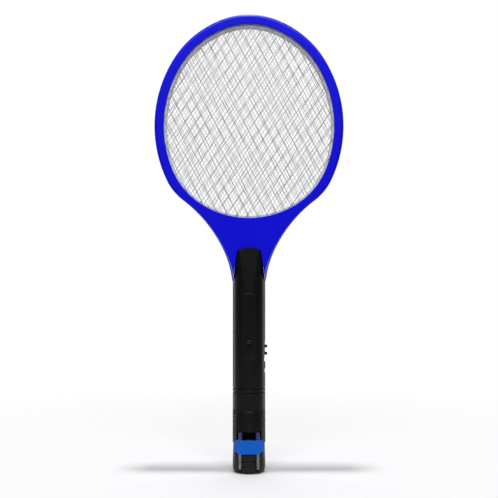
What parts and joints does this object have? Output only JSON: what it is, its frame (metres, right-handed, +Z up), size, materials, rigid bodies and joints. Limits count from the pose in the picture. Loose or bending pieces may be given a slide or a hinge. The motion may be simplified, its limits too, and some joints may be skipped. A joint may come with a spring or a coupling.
{
  "type": "electric fly swatter",
  "caption": "Racket-shaped insect swatter with three metal grids, an upright handle with side controls, and a lift-off rechargeable torch with a fold-out mains plug.",
  "frame": {"origin": "centre of the tail cap's bottom, on the surface that the swatter stands on", "axes": "+Z up the handle to the head, front face with the lamp and the plug towards -Y, thumb controls on +X"},
  "size_m": [0.209, 0.0366, 0.505],
  "materials": {
    "head_blue": "smooth injection-moulded ABS, semi-gloss",
    "grid_metal": "expanded sheet, dull silver",
    "spacer_white": "moulded ABS, natural white",
    "handle_black": "moulded ABS with a fine spark texture",
    "torch_black": "moulded ABS with a fine spark texture",
    "knob_black": "moulded ABS",
    "button_red": "moulded ABS, glossy",
    "switch_black": "moulded component bodies",
    "switch_steel": "pressed steel case",
    "screw_steel": "nickel-plated steel",
    "lamp_red": "diffused red epoxy",
    "board_green": "solder-masked laminate",
    "coil_yellow": "taped winding on ferrite",
    "capacitor_brown": "dipped film capacitor",
    "capacitor_blue": "dipped ceramic disc",
    "resistor_tan": "lacquered carbon film",
    "lead_red": "PVC insulation",
    "contact_brass": "spring brass",
    "tail_rubber": "soft moulded rubber",
    "battery_green": "shrink sleeve",
    "lens_clear": "clear polycarbonate",
    "reflector_chrome": "vacuum-metallised",
    "plug_blue": "moulded ABS, semi-gloss",
    "pin_nickel": "nickel-plated brass",
    "sleeve_violet": "moulded sleeve"
  },
  "bodies": {
    "torch": {"torch_body": "torch_black", "tail_cap": "torch_black", "tail_spring": "screw_steel", "tail_switch": "switch_black", "battery_seat": "spacer_white", "battery_spring": "screw_steel", "battery": "battery_green", "battery_contact": "contact_brass", "torch_bezel": "torch_black", "torch_terminals": "contact_brass", "torch_lens": "lens_clear", "torch_reflector": "reflector_chrome", "torch_lamp_board": "board_green", "torch_lamps": "lens_clear", "charging_board": "board_green", "charging_parts": "capacitor_brown", "charging_contacts": "contact_brass", "plug_bracket": "torch_black", "plug_hinge_pin": "screw_steel"},
    "racket": {"head_frame_front": "head_blue", "head_frame_back": "head_blue", "grid_front": "grid_metal", "grid_middle": "grid_metal", "grid_back": "grid_metal", "spacer_ring_front": "spacer_white", "spacer_ring_back": "spacer_white", "handle_front": "handle_black", "handle_back": "handle_black", "handle_screws": "screw_steel", "torch_socket": "handle_black", "zap_switch": "switch_black", "slide_switch": "switch_steel", "indicator_lamp": "lamp_red", "circuit_board": "board_green", "transformer": "coil_yellow", "storage_capacitor": "capacitor_brown", "ladder_capacitors": "capacitor_blue", "ladder_diodes": "switch_black", "resistors": "resistor_tan", "transistor": "switch_black", "grid_leads": "lead_red", "power_leads": "lead_red", "socket_contacts": "contact_brass"},
    "plug": {"plug_carrier": "plug_blue", "plug_pins": "pin_nickel", "plug_sleeves": "sleeve_violet"},
    "zap_button": {"zap_button": "button_red"},
    "slide_knob": {"slide_knob": "knob_black"},
    "tail_button": {"tail_button": "tail_rubber"},
    "release_button": {"release_button": "knob_black"}
  },
  "joints": [
    {"name": "racket_lift", "type": "slide", "parent": "torch", "child": "racket", "axis": [0, 0, 1], "range_m": [0, 0.045]},
    {"name": "plug_fold", "type": "hinge", "parent": "torch", "child": "plug", "pos_m": [0, -0.0135, 0.035], "axis": [-1, 0, 0], "range_deg": [0, 90]},
    {"name": "zap_press", "type": "slide", "parent": "racket", "child": "zap_button", "axis": [-1, 0, 0], "range_m": [0, 0.001], "stiffness_N_per_m": 800, "springref_m": -0.0005},
    {"name": "slider_travel", "type": "slide", "parent": "racket", "child": "slide_knob", "axis": [0, 0, 1], "range_m": [0, 0.004]},
    {"name": "tail_press", "type": "slide", "parent": "torch", "child": "tail_button", "axis": [0, 0, 1], "range_m": [0, 0.0012], "stiffness_N_per_m": 400, "springref_m": -0.0005, "deforming": ["tail_spring"]},
    {"name": "release_press", "type": "slide", "parent": "torch", "child": "release_button", "axis": [0, -1, 0], "range_m": [0, 0.001], "stiffness_N_per_m": 500, "springref_m": -0.0005}
  ]
}
